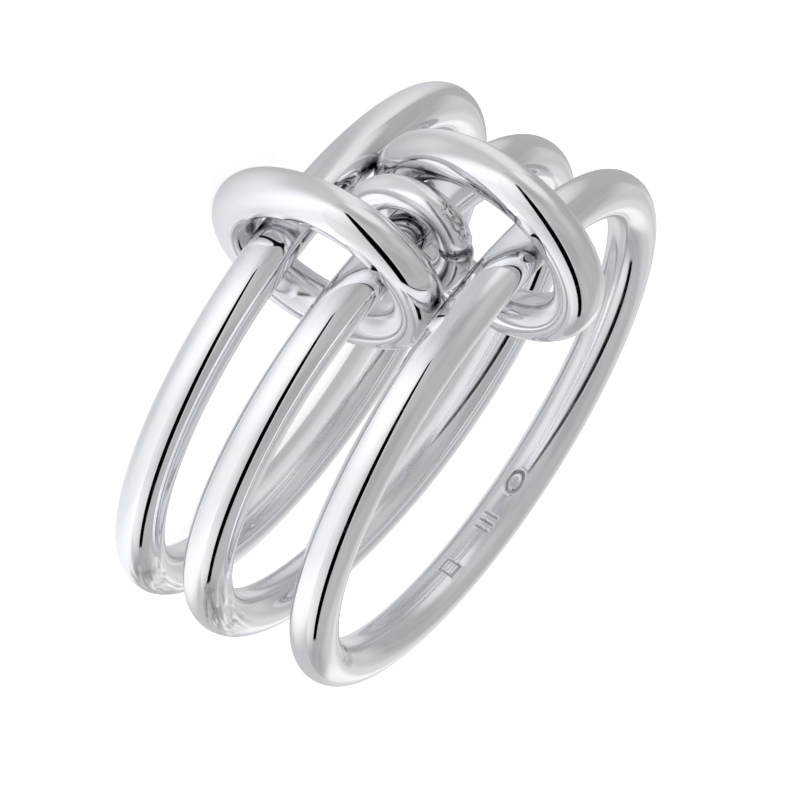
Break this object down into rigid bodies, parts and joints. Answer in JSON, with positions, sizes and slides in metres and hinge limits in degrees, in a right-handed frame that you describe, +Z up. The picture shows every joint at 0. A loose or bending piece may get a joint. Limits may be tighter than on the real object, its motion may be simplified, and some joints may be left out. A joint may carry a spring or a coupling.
{
  "type": "stacking ring",
  "caption": "Finger ring of slim round-wire bands set side by side and held together by interlocked link rings, with a small loose ring between the links.",
  "frame": {"origin": "on the floor that the ring lies on, under the centre of the middle band, on the axis of the finger hole", "axes": "+Z up along the finger hole, from the lower band to the upper band; -Y toward the side that carries the link rings; +X to the right of someone who looks along +Y"},
  "size_m": [0.0212, 0.0237, 0.0125],
  "materials": {
    "polished_silver": "mirror-polished sterling silver"
  },
  "bodies": {
    "root": {"band_lower": "polished_silver", "band_middle": "polished_silver", "band_upper": "polished_silver", "link_lower": "polished_silver", "link_upper": "polished_silver", "small_ring": "polished_silver"}
  },
  "joints": []
}
